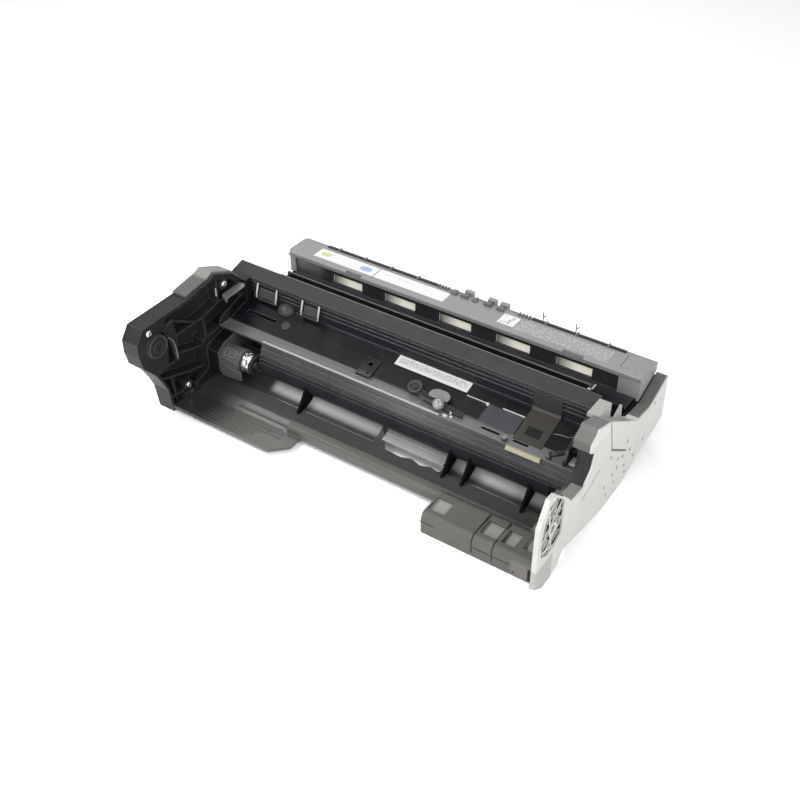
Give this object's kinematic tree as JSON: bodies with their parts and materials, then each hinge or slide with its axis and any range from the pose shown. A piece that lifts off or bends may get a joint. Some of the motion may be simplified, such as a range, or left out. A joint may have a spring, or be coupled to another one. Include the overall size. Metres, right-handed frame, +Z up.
{
  "type": "printer drum unit",
  "caption": "Printer drum and developer unit: open toner cradle, geared drum and rollers, waste housing with cover, paper guide and two moulded sides.",
  "frame": {"origin": "centre of the bounding box, on the surface that the unit stands on", "axes": "+X along the unit from the drive side to the other side, +Y from the front guide to the waste housing, +Z up"},
  "size_m": [0.34, 0.2116, 0.0955],
  "materials": {
    "black_plastic": "satin",
    "dark_plastic": "satin",
    "guide_plastic": "satin",
    "foot_plastic": "satin",
    "cover_plastic": "fine texture",
    "light_plastic": "satin",
    "pale_plastic": "satin",
    "gear_plastic": "satin",
    "steel": "plain",
    "bright_metal": "polished",
    "roller_rubber": "matt",
    "sleeve_metal": "blasted",
    "drum_coating": "gloss",
    "felt": "matt",
    "foam": "matt",
    "film": "semi-gloss",
    "label_paper": "paper"
  },
  "bodies": {
    "unit_frame": {"toner_cradle": "black_plastic", "ledge_strip": "bright_metal", "developer_housing": "black_plastic", "doctor_blade": "steel", "charge_bearings": "gear_plastic", "cleaning_blade": "roller_rubber", "blade_holder": "steel", "idler_pin": "steel", "rear_housing": "black_plastic", "window_liner": "felt", "rear_cover": "cover_plastic", "right_side_plate": "light_plastic", "right_inner_plate": "black_plastic", "notch_block": "black_plastic", "lens_block": "black_plastic", "right_guide_block": "pale_plastic", "left_bracket": "dark_plastic", "side_screws": "steel", "left_tab": "pale_plastic", "left_inner_plate": "black_plastic", "drive_cover": "guide_plastic", "coupling_shield": "guide_plastic", "nose_bush": "dark_plastic", "bracket_contact": "steel", "lower_guide": "guide_plastic", "front_foot": "foot_plastic", "lever_plate": "dark_plastic", "cradle_label": "label_paper", "cover_label_left": "label_paper", "cover_label_right": "label_paper", "cover_label_small": "label_paper", "film_tab": "film", "seal_strip": "foam", "strip_pins": "steel"},
    "drum": {"photoconductor_drum": "drum_coating", "drum_gear": "gear_plastic", "drum_flange": "gear_plastic", "drum_shaft": "steel"},
    "developing_roller": {"developer_sleeve": "sleeve_metal", "developer_shaft": "steel", "developer_gear": "gear_plastic"},
    "feed_stirrer": {"feed_paddle": "black_plastic", "feed_gear": "gear_plastic"},
    "mixing_stirrer": {"mixing_paddle": "black_plastic", "mixing_gear": "gear_plastic"},
    "drive_shaft": {"coupling_shaft": "steel", "coupling_gear": "gear_plastic", "coupling_collar": "bright_metal", "coupling_wheel": "black_plastic"},
    "idler": {"idler_gear": "gear_plastic"},
    "waste_stirrer": {"waste_paddle": "black_plastic", "waste_gear": "gear_plastic"},
    "charging_roller": {"charge_roller": "roller_rubber", "charge_shaft": "steel"},
    "lever": {"inlet_lever": "dark_plastic", "lever_knob": "guide_plastic"}
  },
  "joints": [
    {"name": "drum_spin", "type": "hinge", "parent": "unit_frame", "child": "drum", "pos_m": [0, 0.043, 0.024], "axis": [1, 0, 0], "continuous": true},
    {"name": "developer_spin", "type": "hinge", "parent": "unit_frame", "child": "developing_roller", "pos_m": [0, 0.02, 0.024], "axis": [1, 0, 0], "continuous": true},
    {"name": "feed_spin", "type": "hinge", "parent": "unit_frame", "child": "feed_stirrer", "pos_m": [0, 0.00218, 0.02149], "axis": [1, 0, 0], "continuous": true},
    {"name": "mixing_spin", "type": "hinge", "parent": "unit_frame", "child": "mixing_stirrer", "pos_m": [0, -0.0138, 0.02731], "axis": [1, 0, 0], "continuous": true},
    {"name": "coupling_spin", "type": "hinge", "parent": "unit_frame", "child": "drive_shaft", "pos_m": [0, -0.02855, 0.03004], "axis": [1, 0, 0], "continuous": true},
    {"name": "idler_spin", "type": "hinge", "parent": "unit_frame", "child": "idler", "pos_m": [0, 0.063, 0.024], "axis": [1, 0, 0], "continuous": true},
    {"name": "waste_spin", "type": "hinge", "parent": "unit_frame", "child": "waste_stirrer", "pos_m": [0, 0.077, 0.024], "axis": [1, 0, 0], "continuous": true},
    {"name": "charge_spin", "type": "hinge", "parent": "unit_frame", "child": "charging_roller", "pos_m": [0, 0.05355, 0.04227], "axis": [1, 0, 0], "continuous": true},
    {"name": "lever_turn", "type": "hinge", "parent": "unit_frame", "child": "lever", "pos_m": [0.0215, -0.006, 0.04923], "axis": [0, -0.2938, 0.9559], "range_deg": [0, 35]}
  ],
  "couplings": [
    {"joint": "developer_spin", "follows": "drum_spin", "ratio": -1.5556},
    {"joint": "feed_spin", "follows": "drum_spin", "ratio": 1.5556},
    {"joint": "mixing_spin", "follows": "drum_spin", "ratio": -1.75},
    {"joint": "coupling_spin", "follows": "drum_spin", "ratio": 2},
    {"joint": "idler_spin", "follows": "drum_spin", "ratio": -2.3333},
    {"joint": "waste_spin", "follows": "drum_spin", "ratio": 1.75},
    {"joint": "charge_spin", "follows": "drum_spin", "ratio": -2.5}
  ]
}
